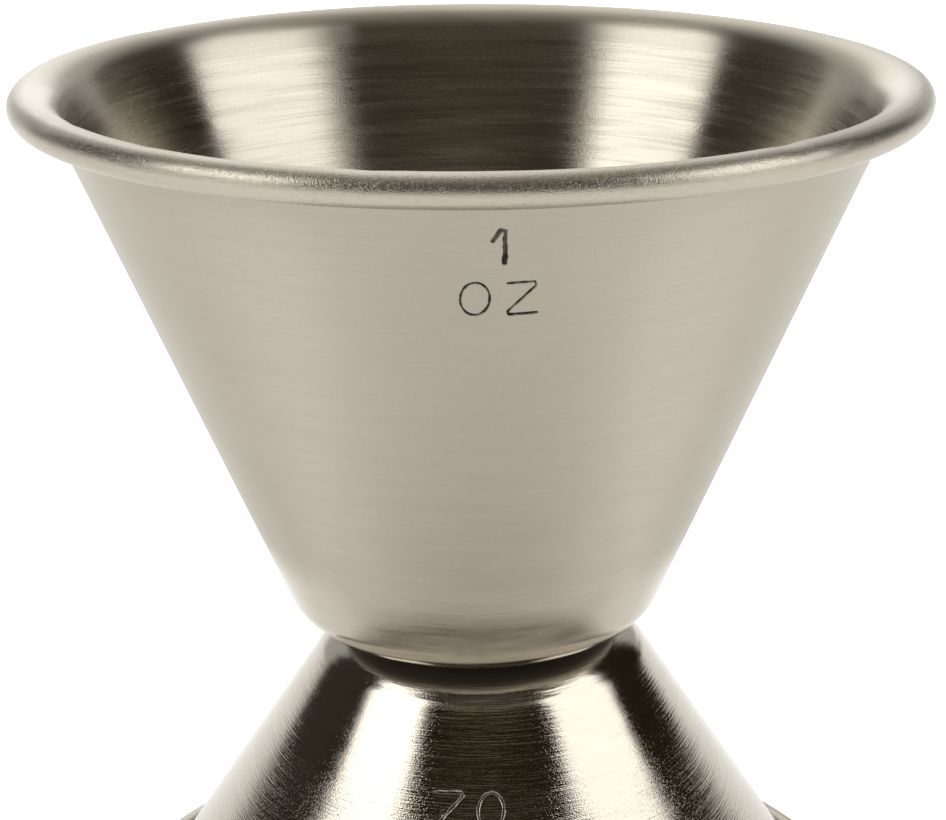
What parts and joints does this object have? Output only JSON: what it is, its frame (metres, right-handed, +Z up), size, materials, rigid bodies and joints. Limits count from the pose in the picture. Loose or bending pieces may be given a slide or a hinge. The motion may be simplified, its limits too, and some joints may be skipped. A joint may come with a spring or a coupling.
{
  "type": "bar jigger",
  "caption": "Double-ended steel bar measure: a tall cone cup over a wide shallow one, joined base to base, both with rolled rims.",
  "frame": {"origin": "on the large cup's axis, in the plane that the small cup's rim stands on", "axes": "+Z is up along the large cup's axis, out of its mouth; -Y is the side that carries the capacity marks; +X is the way the small cup is welded off centre"},
  "size_m": [0.0518, 0.0518, 0.0547],
  "materials": {
    "large_cup_steel": "satin outside, brushed round the axis inside",
    "small_cup_steel": "bright, with fine lines round the axis",
    "weld_steel": "matt fused metal"
  },
  "bodies": {
    "root": {"large_cup": "large_cup_steel", "small_cup": "small_cup_steel", "weld_nugget": "weld_steel"}
  },
  "joints": []
}
